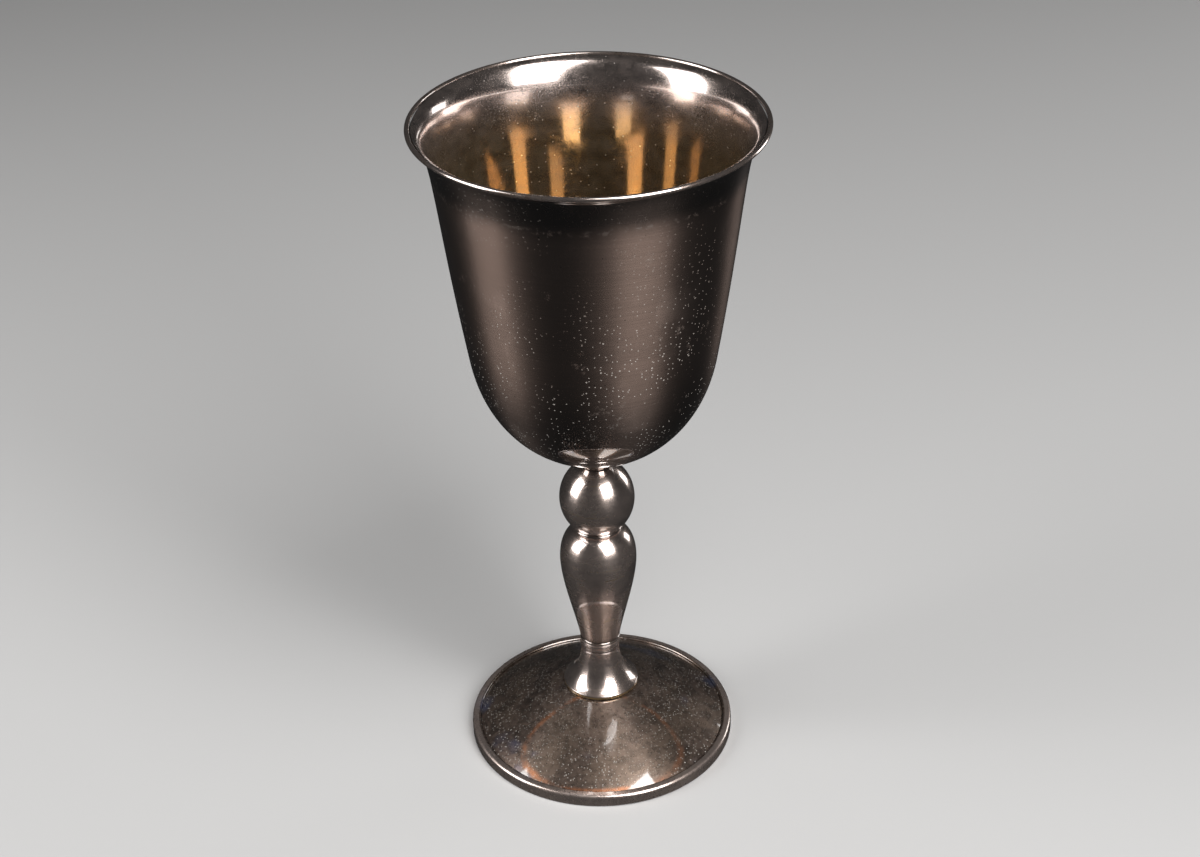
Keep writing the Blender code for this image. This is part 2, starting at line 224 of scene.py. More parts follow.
def grid_mesh(name, places, around, along, closed_round=True, closed_along=True):
    """Mesh of a grid of points: places[i, j] is step i along the outline and step j round the axis.

    Each face takes corners (i, j), (i, j+1), (i+1, j+1), (i+1, j), so an outline that runs
    anticlockwise in (radius, height) faces outwards. around and along are the map's two coordinates
    at the grid's lines. A grid line that lies on the axis keeps its separate points here; settle merges them.
    """
    rows, columns = places.shape[:2]
    step_i = np.arange(rows if closed_along else rows - 1)
    step_j = np.arange(columns if closed_round else columns - 1)
    i, j = np.meshgrid(step_i, step_j, indexing="ij")
    i, j = i.ravel(), j.ravel()
    next_i, next_j = (i + 1) % rows, (j + 1) % columns
    corners = np.stack([i * columns + j, i * columns + next_j, next_i * columns + next_j,
                        next_i * columns + j], axis=1)
    mesh = bpy.data.meshes.new(name)
    mesh.vertices.add(rows * columns)
    mesh.vertices.foreach_set("co", places.reshape(-1).astype(np.float32))
    mesh.loops.add(corners.size)
    mesh.loops.foreach_set("vertex_index", corners.reshape(-1).astype(np.int32))
    mesh.polygons.add(len(corners))
    mesh.polygons.foreach_set("loop_start", np.arange(0, corners.size, 4, dtype=np.int32))
    u = np.stack([around[j], around[j + 1], around[j + 1], around[j]], axis=1)
    v = np.stack([along[i], along[i], along[i + 1], along[i + 1]], axis=1)
    chart = mesh.uv_layers.new(name=TURNS)
    chart.uv.foreach_set("vector", np.stack([u, v], axis=2).reshape(-1).astype(np.float32))
    mesh.update(calc_edges=True)
    return mesh


def settle(mesh, sharp_degrees=40.0):
    """Merges the points on the axis, drops flat faces and smooths all but the sharp edges."""
    work = bmesh.new()
    work.from_mesh(mesh)
    on_axis = [v for v in work.verts if math.hypot(v.co.x, v.co.y) < 1e-7]
    bmesh.ops.remove_doubles(work, verts=on_axis, dist=1e-7)
    bmesh.ops.dissolve_degenerate(work, edges=work.edges, dist=1e-8)
    work.to_mesh(mesh)
    work.free()
    mesh.shade_smooth()
    mesh.set_sharp_from_angle(angle=math.radians(sharp_degrees))


def swept(radius, height, angle):
    """Points (-R sin a, R cos a, z): a row for each height and a column for each turn a."""
    around = np.stack([-radius * np.sin(angle), radius * np.cos(angle)], axis=2)
    return np.dstack([around, np.broadcast_to(height, around.shape[:2])])


def turned(name, outline, segments, out_of_round=0.0):
    """Surface of revolution: P(s, a) = (R sin a, R cos a, z(s)), R = r(s) (1 - e sin^2 a).

    e is out_of_round, the slight oval that hand finishing leaves. The seam is at the back. The map
    holds the turn a / 2 pi and the length s along the outline in metres.
    """
    angle = np.linspace(0.0, math.tau, segments, endpoint=False)
    radius = outline[:, :1] * (1.0 - out_of_round * np.sin(angle)[None, :] ** 2)
    places = swept(radius, outline[:, 1:], angle)
    loop = np.concatenate([outline, outline[:1]])
    along = np.concatenate([[0.0], np.cumsum(np.linalg.norm(np.diff(loop, axis=0), axis=1))])
    around = np.arange(segments + 1) / segments
    mesh = grid_mesh(name, places, around, along)
    settle(mesh)
    return mesh


def piece(name, mesh, materials, nodes):
    """Puts a finished mesh in the scene, on the body, in place of the solids that it stands for."""
    for material in materials:
        mesh.materials.append(material)
    made = bpy.data.objects.new(name, mesh)
    bpy.context.scene.collection.objects.link(made)
    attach(made, BODY)
    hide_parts(*nodes)


# ---------------------------------------------------------------- shader wiring

class Bench:
    """One material's nodes. Each method adds a node and gives back the output to wire on."""

    def __init__(self, name):
        old = bpy.data.materials.get(name)
        if old is not None:
            bpy.data.materials.remove(old)
        self.material = bpy.data.materials.new(name)
        self.material.use_nodes = True
        self.tree = self.material.node_tree
        self.shader = self.tree.nodes["Principled BSDF"]

    def put(self, kind, inputs, output=0, **settings):
        node = self.tree.nodes.new(kind)
        for key, value in settings.items():
            setattr(node, key, value)
        for key, value in inputs.items():
            self.wire(node.inputs[key], value)
        return node.outputs[output]

    def wire(self, socket, value):
        if isinstance(value, bpy.types.NodeSocket):
            self.tree.links.new(value, socket)
        elif socket.type == "RGBA":
            socket.default_value = (*value, 1.0)
        else:
            socket.default_value = value

    def place(self):
        return self.put("ShaderNodeTexCoord", {}, output="Object")

    def turns(self):
        return self.put("ShaderNodeUVMap", {}, uv_map=TURNS)

    def stretch(self, vector, scale, turn=0.0, shift=(0.0, 0.0, 0.0)):
        return self.put("ShaderNodeMapping", {"Vector": vector, "Scale": scale, "Location": shift,
                                              "Rotation": (0.0, 0.0, turn)})

    def noise(self, vector, scale, detail=2.0, roughness=0.5, distortion=0.0):
        return self.put("ShaderNodeTexNoise", {"Vector": vector, "Scale": scale, "Detail": detail,
                                               "Roughness": roughness, "Distortion": distortion})

    def cells(self, vector, scale, output="Distance", dimensions="3D"):
        return self.put("ShaderNodeTexVoronoi", {"Vector": vector, "Scale": scale}, output=output,
                        voronoi_dimensions=dimensions)

    def math(self, operation, first, second=0.5):
        return self.put("ShaderNodeMath", {0: first, 1: second}, operation=operation)

    def times(self, first, second):
        return self.math("MULTIPLY", first, second)

    def between(self, value, low, high, to_low=0.0, to_high=1.0):
        """Eased step: to_low below low, to_high above high."""
        return self.put("ShaderNodeMapRange", {"Value": value, "From Min": low, "From Max": high,
                                               "To Min": to_low, "To Max": to_high},
                        interpolation_type="SMOOTHSTEP")

    def mix(self, factor, first, second):
        node = self.tree.nodes.new("ShaderNodeMix")
        node.data_type = "RGBA"
        self.wire(node.inputs["Factor"], factor)
        self.wire(node.inputs[6], first)
        self.wire(node.inputs[7], second)
        return node.outputs[2]

    def part_of(self, vector, axis):
        return self.put("ShaderNodeSeparateXYZ", {"Vector": vector}, output=axis)

    def size_of(self, vector):
        return self.put("ShaderNodeVectorMath", {0: vector}, output="Value", operation="LENGTH")

    def bump(self, height, distance, strength=0.5):
        return self.put("ShaderNodeBump", {"Height": height, "Distance": distance, "Strength": strength})

    def hairlines(self, vector, scale, stretch, turn, width, seed):
        """Fine scratches: thin bands where a stretched noise crosses its middle, broken by another noise."""
        laid = self.stretch(vector, stretch, turn, (seed, -seed, 0.37 * seed))
        level = self.noise(laid, scale, detail=1.0, roughness=0.4)
        line = self.between(self.math("ABSOLUTE", self.math("SUBTRACT", level, 0.5)), 0.0, width, 1.0, 0.0)
        broken = self.noise(self.stretch(vector, (1.0, 1.0, 1.0), 0.0, (3.1 * seed, 0.0, 0.0)), scale * 2.2,
                            detail=1.0)
        return self.times(line, self.between(broken, 0.48, 0.62))

    def specks(self, vector, scale, size, share, seed):
        """Small round specks: the middles of random cells, kept where a cell's own number is low."""
        laid = self.stretch(vector, (1.0, 1.0, 1.0), 0.0, (seed, seed * 0.7, -seed))
        near = self.between(self.cells(laid, scale), size * 0.5, size, 1.0, 0.0)
        number = self.put("ShaderNodeSeparateColor", {"Color": self.cells(laid, scale, output="Color")})
        return self.times(near, self.math("LESS_THAN", number, share))

    def settled_specks(self, scale, size, share, seed):
        """Specks that lie on a turned surface: the same, laid out flat on the map of its turns."""
        laid = self.stretch(self.turns(), (GIRTH, 1.0, 1.0), 0.0, (0.13 * seed, 0.07 * seed, 0.0))
        ragged = self.times(self.noise(laid, 5.0 * scale, detail=1.0), size)
        middle = self.cells(laid, scale, dimensions="2D")
        tint = self.cells(laid, scale, output="Color", dimensions="2D")
        near = self.between(self.math("SUBTRACT", middle, ragged), 0.0, size, 1.0, 0.0)
        number = self.put("ShaderNodeSeparateColor", {"Color": tint})
        return self.times(near, self.math("LESS_THAN", number, share))

    def finish(self, colour, roughness, metallic=1.0, normal=None, tangent=None, **constants):
        self.wire(self.shader.inputs["Base Color"], colour)
        self.wire(self.shader.inputs["Roughness"], roughness)
        self.wire(self.shader.inputs["Metallic"], metallic)
        if normal is not None:
            self.wire(self.shader.inputs["Normal"], normal)
        if tangent is not None:
            self.wire(self.shader.inputs["Tangent"], tangent)
        for key, value in constants.items():
            self.shader.inputs[key.replace("_", " ")].default_value = value
        return self.material


# ---------------------------------------------------------------- finishes

def turning_lines(bench, fineness):
    """Fine lines round the axis, as a lathe tool and a mop leave: noise squeezed along the outline."""
    return bench.noise(bench.stretch(bench.turns(), (3.0, fineness, 1.0)), 1.0, detail=3.0, roughness=0.65)


def mop_direction(bench):
    """Direction of the mop's strokes, round the axis, which spreads a reflection up and down."""
    return bench.put("ShaderNodeTangent", {}, direction_type="UV_MAP", uv_map=TURNS)


def crevices(bench, place, heights, reach):
    """Bands at the joints between turned pieces, where brown tarnish and old polish gather."""
    level = bench.part_of(place, "Z")
    found = None
    for height in heights:
        away = bench.math("ABSOLUTE", bench.math("SUBTRACT", level, height))
        band = bench.between(away, 0.0, reach, 1.0, 0.0)
        found = band if found is None else bench.math("MAXIMUM", found, band)
    return found


def outer_silver(finishes):
    """Dulled silver plate outside the bowl: mop lines, hand haze, hairlines, dust and a few pits.

    A painted shadow runs under the lip as a dark band, with dried polish along its edge, and painted shade
    darkens the round bottom.
    """
    bench = Bench("dulled_silver_outside")
    place, turns = bench.place(), bench.turns()
    height = bench.part_of(place, "Z")
    haze = bench.noise(place, 38.0, detail=4.0, roughness=0.6, distortion=0.4)
    smear = bench.noise(bench.stretch(place, (1.0, 1.0, 0.35)), 95.0, detail=3.0, roughness=0.7)
    film = bench.times(bench.between(haze, 0.42, 0.68), bench.between(smear, 0.3, 0.75))
    lines = turning_lines(bench, 5200.0)
    hairs = bench.math("MAXIMUM", bench.hairlines(turns, 30.0, (3.0, 9.0, 1.0), 0.9, 0.006, 1.7),
                       bench.hairlines(turns, 34.0, (3.5, 8.0, 1.0), -1.2, 0.005, 5.3))
    settled = bench.between(height, *DUSTY_SIDE, 1.0, 0.35)
    drift = bench.between(bench.noise(place, 52.0, detail=3.0), 0.46, 0.58)
    dust = bench.math("MAXIMUM", bench.settled_specks(680.0, 0.095, 0.50, 2.0),
                      bench.settled_specks(250.0, 0.050, 0.40, 7.0))
    dust = bench.times(dust, bench.times(drift, settled))
    smudge = bench.between(bench.noise(place, 120.0, detail=4.0, roughness=0.7), 0.60, 0.74)
    smudge = bench.times(smudge, bench.between(bench.noise(place, 1100.0), 0.40, 0.66))
    smudge = bench.times(smudge, bench.times(settled, 0.5))
    dust = bench.math("MAXIMUM", dust, smudge)
    pits = bench.specks(place, 420.0, 0.10, 0.12, 21.0)
    waver = bench.times(bench.math("SUBTRACT", haze, 0.5), 6.0 * MM)
    edge = bench.math("ADD", height, waver)
    # Painted shadow under the lip and painted shade on the round bottom, as height bands with a wavering
    # edge.
    painted_lip_shadow = bench.between(edge, *PAINTED_LIP_SHADOW_HEIGHTS, 0.0, 0.80)
    painted_bottom_shade = bench.between(edge, *PAINTED_BOTTOM_SHADE_HEIGHTS, 0.68, 0.0)
    from_edge = bench.math("ABSOLUTE", bench.math("SUBTRACT", edge, DRIED_EDGE_Z))
    dried = bench.between(from_edge, 0.0, 1.2 * MM, 1.0, 0.0)
    dried = bench.times(dried, bench.between(bench.noise(place, 700.0, detail=3.0), 0.50, 0.64))
    dust = bench.math("MAXIMUM", dust, bench.times(dried, 0.16))
    shade = bench.mix(film, finishes.silver, finishes.silver_haze)
    # Paints the shadow under the lip and the shade on the round bottom in the pits' near-black.
    shade = bench.mix(bench.math("MAXIMUM", painted_lip_shadow, painted_bottom_shade), shade, finishes.pits_and_painted_shade)
    shade = bench.mix(bench.times(hairs, 0.35), shade, finishes.lip_silver)
    shade = bench.mix(bench.times(pits, 0.8), shade, finishes.pits_and_painted_shade)
    shade = bench.mix(dust, shade, finishes.dust)
    rough = bench.between(film, 0.0, 1.0, 0.35, 0.43)
    rough = bench.math("ADD", rough, bench.times(bench.math("SUBTRACT", lines, 0.5), 0.10))
    rough = bench.math("MAXIMUM", rough, bench.times(dust, 0.8))
    metallic = bench.math("SUBTRACT", 1.0, bench.times(dust, 0.8))
    relief = bench.math("ADD", bench.times(lines, 0.5), bench.times(hairs, -1.0))
    relief = bench.math("ADD", relief, bench.times(bench.math("SUBTRACT", dust, pits), 2.0))
    normal = bench.bump(relief, 0.006 * MM)
    return bench.finish(shade, rough, metallic, normal, mop_direction(bench), Anisotropic=0.92,
                        Anisotropic_Rotation=0.25, Coat_Weight=1.0, Coat_Roughness=0.03, Coat_IOR=2.8)


def inner_gilding(finishes):
    """Worn gilding inside the bowl: silver at the lip, gold below, wiped scratches, clusters of pits."""
    bench = Bench("worn_gilding_inside")
    place, turns = bench.place(), bench.turns()
    wander = bench.noise(place, 45.0, detail=4.0, roughness=0.6)
    wander = bench.times(bench.math("SUBTRACT", wander, 0.5), 10.0 * MM)
    edge = bench.math("ADD", bench.part_of(place, "Z"), wander)
    worn = bench.between(edge, *WORN_GILDING)
    wiped = bench.noise(bench.stretch(turns, (9.0, 60.0, 1.0), 0.25), 6.0, detail=4.0, roughness=0.6)
    grain = bench.between(bench.noise(place, 2100.0, detail=3.0, roughness=0.7), 0.42, 0.62)
    shade = bench.mix(worn, finishes.gilding, finishes.lip_silver)
    hazed = bench.times(bench.between(wiped, 0.45, 0.75), 0.35)
    shade = bench.mix(hazed, shade, finishes.silver_haze)
    clusters = bench.noise(place, 60.0, detail=3.0, roughness=0.6)
    patch = bench.between(clusters, 0.47, 0.60)
    pits = bench.math("MAXIMUM", bench.settled_specks(900.0, 0.13, 0.55, 3.0),
                      bench.settled_specks(1700.0, 0.17, 0.60, 11.0))
    high = bench.between(edge, *PITTED_LIP)
    pits = bench.times(pits, bench.times(patch, high))
    hairs = bench.math("MAXIMUM", bench.hairlines(turns, 26.0, (2.0, 22.0, 1.0), 0.28, 0.010, 4.1),
                       bench.hairlines(turns, 32.0, (2.2, 16.0, 1.0), -0.35, 0.008, 9.4))
    dust = bench.settled_specks(480.0, 0.055, 0.22, 5.0)
    shade = bench.mix(bench.times(hairs, 0.35), shade, finishes.lip_silver)
    shade = bench.mix(bench.times(pits, 0.9), shade, finishes.pits_and_painted_shade)
    shade = bench.mix(bench.times(dust, 0.6), shade, finishes.dust)
    rough = bench.between(wiped, 0.3, 0.8, 0.03, 0.08)
    dulled = bench.times(bench.math("ADD", bench.times(grain, 0.35), 0.65), 0.16)
    dulled = bench.times(dulled, high)
    rough = bench.math("ADD", rough, bench.math("ADD", bench.times(hairs, 0.12), dulled))
    rough = bench.math("MAXIMUM", rough, bench.times(bench.math("MAXIMUM", pits, dust), 0.6))
    relief = bench.math("ADD", bench.times(pits, -2.0), bench.times(hairs, -0.25))
    relief = bench.math("ADD", relief, bench.times(wiped, 0.08))
    normal = bench.bump(relief, 0.008 * MM)
    metallic = bench.between(wiped, 0.3, 0.8, 0.965, 0.90)
    return bench.finish(shade, rough, metallic, normal, Coat_Weight=1.0, Coat_Roughness=0.04, Coat_IOR=1.9)


def stem_silver(finishes, name="turned_silver_stem", darkening=0.45):
    """Brighter silver plate on the stem: tool lines round the axis, brown tarnish in hollows, specks."""
    bench = Bench(name)
    place, turns = bench.place(), bench.turns()
    lines = turning_lines(bench, 7000.0)
    bands = bench.noise(bench.stretch(turns, (0.6, 900.0, 1.0)), 1.0, detail=2.0)
    cloud = bench.noise(place, 130.0, detail=4.0, roughness=0.65)
    brown = bench.times(bench.between(cloud, 0.38, 0.68), darkening)
    deep = crevices(bench, place, STEM_JOINTS, 1.6 * MM)
    worn = bench.times(bench.between(bands, 0.60, 0.74), bench.between(cloud, 0.40, 0.60))
    specks = bench.math("MAXIMUM", bench.settled_specks(900.0, 0.10, 0.25, 6.0),
                        bench.settled_specks(450.0, 0.05, 0.20, 13.0))
    hairs = bench.hairlines(turns, 22.0, (4.0, 40.0, 1.0), 0.5, 0.012, 2.9)
    shade = bench.mix(brown, finishes.bright_silver, finishes.tarnish)
    shade = bench.mix(bench.times(deep, 0.7), shade, finishes.tarnish)
    shade = bench.mix(bench.times(worn, 0.35), shade, finishes.brass)
    rubbed = bench.between(bench.part_of(place, "Z"), RUBBED_EDGE_Z - 0.6 * MM, RUBBED_EDGE_Z, 0.9, 0.0)
    shade = bench.mix(rubbed, shade, finishes.brass)
    shade = bench.mix(bench.times(specks, 0.8), shade, finishes.pits_and_painted_shade)
    rough = bench.between(cloud, 0.3, 0.75, 0.20, 0.31)
    rough = bench.math("ADD", rough, bench.times(bench.math("SUBTRACT", bands, 0.5), 0.12))
    rough = bench.math("MAXIMUM", rough, bench.times(specks, 0.5))
    relief = bench.math("ADD", bench.times(lines, 0.6), bench.times(bands, 1.0))
    relief = bench.math("SUBTRACT", relief, bench.math("ADD", hairs, specks))
    normal = bench.bump(relief, 0.006 * MM)
    metallic = bench.between(cloud, 0.3, 0.7, 0.97, 0.91)
    return bench.finish(shade, rough, metallic, normal, mop_direction(bench), Anisotropic=0.6,
                        Anisotropic_Rotation=0.25, Coat_Weight=1.0, Coat_Roughness=0.05, Coat_IOR=2.7)


def foot_silver(finishes):
    """Tarnished silver plate on the foot: brown film, a painted reflection of the bowl's edge as an orange
    line, blue bloom, dust and pits.

    The painted reflection edge is the ellipse |(x / a, (y + c) / b)| = 1 in front of the stem, a millimetre
    or so wide, broken up by noise and fainter to the right; inside it the film is painted a little browner, a
    painted reflection of the bowl.
    """
    bench = Bench("tarnished_silver_foot")
    place, turns = bench.place(), bench.turns()
    cloud = bench.noise(place, 42.0, detail=5.0, roughness=0.62, distortion=0.6)
    film = bench.between(cloud, 0.32, 0.62, 0.30, 1.0)
    radius = bench.size_of(bench.stretch(place, (1.0, 1.0, 0.0)))
    # Painted reflection: an ellipse in front of the stem stands for the edge of the bowl's reflection in the
    # foot.
    reflected_edge_level = bench.size_of(bench.stretch(place, (1.0 / REFLECTED_EDGE_WIDE, 1.0 / REFLECTED_EDGE_DEEP, 0.0), 0.0,
                                       (0.0, REFLECTED_EDGE_FORWARD / REFLECTED_EDGE_DEEP, 0.0)))
    reflected_edge_level = bench.math("ADD", reflected_edge_level, bench.times(bench.math("SUBTRACT", cloud, 0.5), 0.14))
    inside = bench.between(reflected_edge_level, 0.93, 1.0, 1.0, 0.0)
    painted_reflection_line = bench.between(bench.math("ABSOLUTE", bench.math("SUBTRACT", reflected_edge_level, 1.0)), 0.0, 0.07, 1.0, 0.0)
    gaps = bench.between(bench.noise(place, 110.0, detail=4.0, roughness=0.65), 0.36, 0.60)
    faded = bench.between(bench.part_of(place, "X"), -4.0 * MM, 16.0 * MM, 1.0, 0.5)
    painted_reflection_line = bench.times(bench.times(painted_reflection_line, faded), gaps)
    drift = bench.noise(bench.stretch(place, (1.0, 1.0, 1.0), 0.0, (4.0, 2.0, 0.0)), 55.0, detail=3.0)
    blue = bench.times(bench.between(drift, 0.57, 0.68), bench.between(radius, *BLOOM_RADII))
    on_ring = bench.between(radius, RING_RUB_RADIUS - 0.5 * MM, RING_RUB_RADIUS + 0.3 * MM)
    clear = bench.math("SUBTRACT", 1.0, bench.times(on_ring, 0.8))
    dust = bench.math("MAXIMUM", bench.settled_specks(520.0, 0.085, 0.34, 4.0),
                      bench.settled_specks(1050.0, 0.13, 0.42, 8.0))
    drifted = bench.times(clear, bench.between(drift, 0.36, 0.56, 0.35, 1.0))
    dust = bench.times(dust, drifted)
    pits = bench.times(bench.settled_specks(1100.0, 0.08, 0.14, 12.0), clear)
    grain = bench.between(bench.noise(place, 900.0, detail=4.0, roughness=0.7), 0.36, 0.66)
    wipes = bench.noise(bench.stretch(turns, (5.0, 700.0, 1.0), 0.02), 1.0, detail=3.0, roughness=0.6)
    mottle = bench.between(bench.noise(place, 210.0, detail=5.0, roughness=0.7, distortion=0.4), 0.42, 0.62)
    shade = bench.mix(film, finishes.silver_haze, finishes.tarnish)
    shade = bench.mix(bench.times(mottle, 0.5), shade, finishes.pits_and_painted_shade)
    # Painted reflection of the bowl: the film is browner inside the ellipse.
    shade = bench.mix(bench.times(inside, 0.25), shade, finishes.tarnish)
    # Painted reflection of the bowl's edge, as an orange line.
    shade = bench.mix(bench.times(painted_reflection_line, 0.75), shade, finishes.painted_reflection_orange)
    shade = bench.mix(bench.times(blue, 0.55), shade, finishes.bloom)
    rubbed = bench.times(bench.between(radius, RING_RUB_RADIUS, RING_RUB_RADIUS + 0.3 * MM),
                         bench.between(cloud, 0.28, 0.50, 1.0, 0.55))
    shade = bench.mix(rubbed, shade, finishes.bright_silver)
    shade = bench.mix(bench.times(pits, 0.7), shade, finishes.pits_and_painted_shade)
    shade = bench.mix(bench.times(dust, 0.9), shade, finishes.dust)
    rough = bench.between(grain, 0.0, 1.0, 0.27, 0.33)
    rough = bench.math("ADD", rough, bench.times(bench.math("SUBTRACT", wipes, 0.5), 0.06))
    rough = bench.math("MAXIMUM", rough, bench.times(dust, 0.65))
    metallic = bench.between(film, 0.0, 1.0, 0.96, 0.84)
    metallic = bench.math("SUBTRACT", metallic, bench.times(dust, 0.6))
    relief = bench.math("ADD", bench.times(wipes, 0.4), bench.times(dust, 0.8))
    relief = bench.math("SUBTRACT", relief, pits)
    normal = bench.bump(relief, 0.005 * MM)
    return bench.finish(shade, rough, metallic, normal, Coat_Weight=1.0, Coat_Roughness=0.05, Coat_IOR=1.9)


def raw_metal(name, colour_value, dark, rough_low, rough_high):
    """Unplated metal as turned or rolled: tool lines and a patchy film."""
    bench = Bench(name)
    place = bench.place()
    cloud = bench.noise(place, 220.0, detail=4.0, roughness=0.6)
    lines = bench.noise(bench.stretch(place, (60.0, 60.0, 5200.0)), 1.0, detail=2.0)
    shade = bench.mix(bench.between(cloud, 0.40, 0.72), colour_value, dark)
    rough = bench.between(cloud, 0.3, 0.7, rough_low, rough_high)
    return bench.finish(shade, rough, 1.0, bench.bump(bench.math("ADD", lines, cloud), 0.01 * MM))


# ---------------------------------------------------------------- surfaces

def bowl_outer_side(sizes):
    """Outer side of the bowl: a round bottom curve and a tapering side that turns out to the lip."""
    base = (sizes.bowl_base, BOWL_LOW.z)
    waist = np.array((sizes.waist_radius, sizes.waist_height))
    up_side = np.array((sizes.side_taper, 1.0)) / math.hypot(sizes.side_taper, 1.0)
    out_lip = np.array((math.sin(sizes.lip_lean), math.cos(sizes.lip_lean)))
    below_lip = np.array((out_lip[1], -out_lip[0]))
    wire = np.array((LIP_HIGH.x - LIP_WIRE_RADIUS, LIP_HIGH.z - LIP_WIRE_RADIUS))
    seam = LIP_WIRE_RADIUS + 0.12 * MM
    lip = wire - out_lip * seam + below_lip * sizes.bowl_wall / 2
    bottom = curve(base, (sizes.bowl_base + 2.5 * MM, BOWL_LOW.z), waist - 22.5 * MM * up_side, waist, 60)
    side = curve(waist, waist + 45.0 * MM * up_side, lip - 5.5 * MM * out_lip, lip, 90)
    return joined(bottom, side)


def bowl_surface(sizes):
    """Shell of revolution: the outer side, its offset by the wall's thickness, and both ends closed."""
    outer = bowl_outer_side(sizes)
    inner = offset(outer, sizes.bowl_wall)
    inner[0] = (sizes.bowl_base, BOWL_LOW.z + sizes.bowl_wall)
    lip_middle = (outer[-1] + inner[-1]) / 2
    below, above = (0.6 * end + 0.4 * lip_middle for end in (outer[-1], inner[-1]))
    lip_edge = curve(outer[-1], below, above, inner[-1], 4)
    under = straight((0.0, BOWL_LOW.z), outer[0], 6)
    floor = straight(inner[0], (0.0, BOWL_LOW.z + sizes.bowl_wall), 6)
    return joined(under, outer, lip_edge, inner[::-1], floor)


def knop_surface(bore):
    """Ellipse turned about Z, cut flat above and below where it meets its neighbours."""
    def angle(height):
        return math.degrees(math.asin((height - KNOP_CENTRE_Z) / KNOP_HALF_HEIGHT))
    start, end = angle(KNOP_LOW.z), angle(KNOP_HIGH.z)
    return bored(arc((0.0, KNOP_CENTRE_Z), KNOP_HIGH.x, KNOP_HALF_HEIGHT, start, end, 72), bore)


def collar_surface(bore):
    """Cove that widens from the knop to the bowl, with a short upright rim."""
    low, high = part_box("bowl_collar")
    rim = high.z - 0.8 * MM
    neck = 3.9 * MM
    cove = curve((neck, low.z), (neck + 0.5 * MM, low.z + 1.1 * MM),
                 (high.x - 1.8 * MM, rim - 1.5 * MM), (high.x, rim), 20)
    recess = 5.0 * MM
    floor = high.z - 2.4 * MM
    return joined(cove, [(high.x, high.z), (recess, high.z), (recess, floor), (bore, floor), (bore, low.z)])


def bead_surface(node, bore):
    """Half-round edge on a thin washer."""
    low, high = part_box(node)
    half = (high.z - low.z) / 2
    return bored(arc((high.x - half, (low.z + high.z) / 2), half, half, -90, 90, 20), bore)


def baluster_surface(bore):
    """Vase: a long taper up from the band, then a full shoulder in to the neck."""
    low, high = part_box("baluster")
    foot = 5.35 * MM
    widest = (high.x, 55.8 * MM)
    taper = curve((foot, low.z), (foot + 1.05 * MM, 37.5 * MM), (high.x - 0.1 * MM, 48.5 * MM), widest, 60)
    shoulder = curve(widest, (high.x, 60.2 * MM), (8.9 * MM, 63.6 * MM), (6.15 * MM, high.z), 40)
    return bored(joined(taper, shoulder), bore)


def band_surface(bore):
    """Short band with softened edges and two cut lines."""
    low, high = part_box("stem_band")
    edge, depth = 0.08 * MM, 0.07 * MM
    upright = straight((5.22 * MM, low.z + edge), (5.33 * MM, high.z - edge), 64)
    share = np.linspace(0.0, 1.0, len(upright))
    for line in (0.12, 0.5, 0.86):
        upright[:, 0] -= depth * np.exp(-((share - line) / 0.035) ** 2)
    start, end = upright[0], upright[-1]
    return bored(joined([(start[0] - edge, low.z)], upright, [(end[0] - edge, high.z)]), bore)


def trumpet_surface(bore):
    """Trumpet: an upright edge on the foot, sweeping in and up to the neck."""
    low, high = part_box("stem_base")
    shoulder = low.z + 1.1 * MM
    soft = 0.2 * MM
    edge = arc((high.x - soft, shoulder - soft), soft, soft, 0, 70, 4)
    flare = curve(edge[-1], (6.6 * MM, shoulder + 2.0 * MM),
                  (5.1 * MM, shoulder + 6.3 * MM), (5.2 * MM, high.z), 60)
    return bored(joined([(high.x - soft, low.z), (high.x, low.z + soft)], edge, flare), bore)


def foot_surface(sizes, bore):
    """Spun foot: a short skirt, a very slightly domed cone up to a flat seat, and the same again inside."""
    seat = 10.6 * MM
    edge = FOOT_HIGH.x
    wall = sizes.foot_wall
    rim_z = 3.0 * MM
    edge_slope, seat_slope = math.radians(31.0), math.radians(25.0)
    reach = 7.0 * MM
    edge_handle = (edge - reach * math.cos(edge_slope), rim_z + reach * math.sin(edge_slope))
    seat_handle = (seat + reach * math.cos(seat_slope), FOOT_HIGH.z - reach * math.sin(seat_slope))
    sweep = curve((edge, rim_z), edge_handle, seat_handle, (seat, FOOT_HIGH.z), 90)
    under = offset(sweep, wall)
    under[0] = (edge - wall, rim_z - wall)
    under[-1] = (seat - wall / 3, FOOT_HIGH.z - wall)
    skirt = [(edge - wall, FOOT_LOW.z), (edge, FOOT_LOW.z)]
    seat_line = straight((seat, FOOT_HIGH.z), (bore, FOOT_HIGH.z), 8)
    seat_under = straight((bore, FOOT_HIGH.z - wall), (seat - wall / 3, FOOT_HIGH.z - wall), 8)
    return joined(skirt, sweep, seat_line, seat_under, under[::-1])


def foot_ring_surface():
    """Upright ring with a rounded crown and a flat underside."""
    inside = FOOT_HIGH.x + 0.12 * MM
    rounded = 0.9 * MM
    high = RING_HIGH
    crown = arc((high.x - rounded, high.z - rounded), rounded, rounded, 0, 90, 16)
    inner = arc((inside + 0.5 * MM, high.z - 0.5 * MM), 0.5 * MM, 0.5 * MM, 90, 180, 8)
    return joined([(inside, 0.0), (high.x - 0.3 * MM, 0.0), (high.x, 0.3 * MM)], crown, inner)


def lip_wire_surface():
    """Round wire carried round the lip: a circle turned about Z."""
    centre = (LIP_HIGH.x - LIP_WIRE_RADIUS, LIP_HIGH.z - LIP_WIRE_RADIUS)
    return arc(centre, LIP_WIRE_RADIUS, LIP_WIRE_RADIUS, 0, 360, 24)[:-1]


